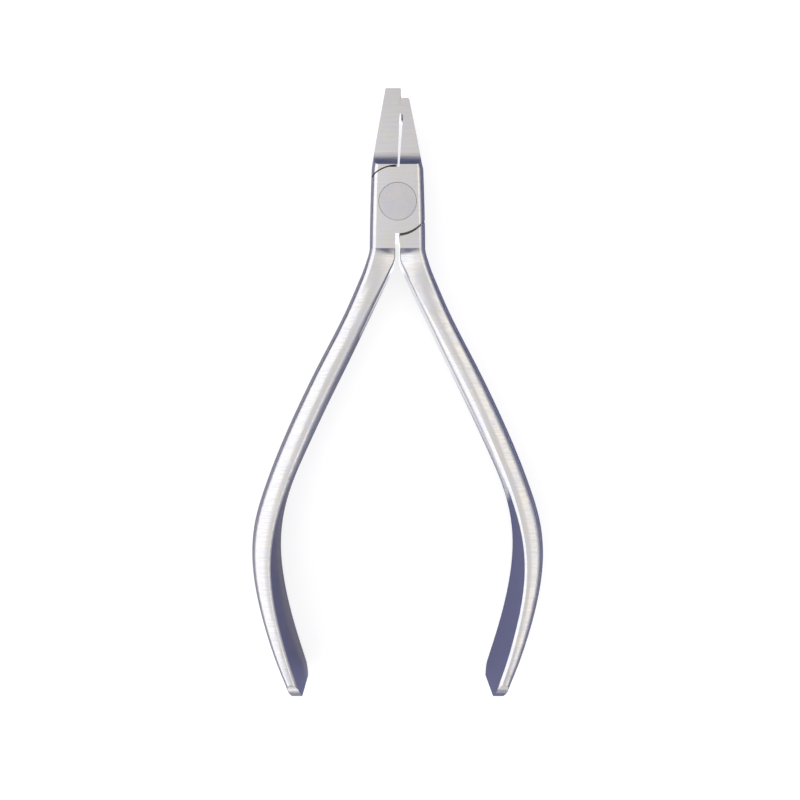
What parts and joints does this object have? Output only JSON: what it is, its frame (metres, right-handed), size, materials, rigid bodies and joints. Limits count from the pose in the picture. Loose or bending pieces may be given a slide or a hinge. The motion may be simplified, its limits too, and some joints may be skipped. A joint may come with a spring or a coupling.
{
  "type": "crimping pliers",
  "caption": "Small lap-joint crimping pliers with two short unequal jaws and long bowed handles that widen to paddle grips.",
  "frame": {"origin": "on the pivot axis, at the rear face of the joint", "axes": "+Z out of the front face along the pivot axis, +Y from the pivot to the jaw tips, +X to the right seen from the front"},
  "size_m": [0.0626, 0.1333, 0.0136],
  "materials": {
    "brushed_steel_halves": "satin ground stainless steel with fine brush lines",
    "brushed_steel_rivet": "satin ground stainless steel, ground flush with the joint"
  },
  "bodies": {
    "back_half": {"back_half": "brushed_steel_halves", "pivot_rivet": "brushed_steel_rivet"},
    "front_half": {"front_half": "brushed_steel_halves"}
  },
  "joints": [
    {"name": "pivot", "type": "hinge", "parent": "back_half", "child": "front_half", "pos_m": [0, 0, 0.0042], "axis": [0, 0, -1], "range_deg": [0, 65]}
  ]
}
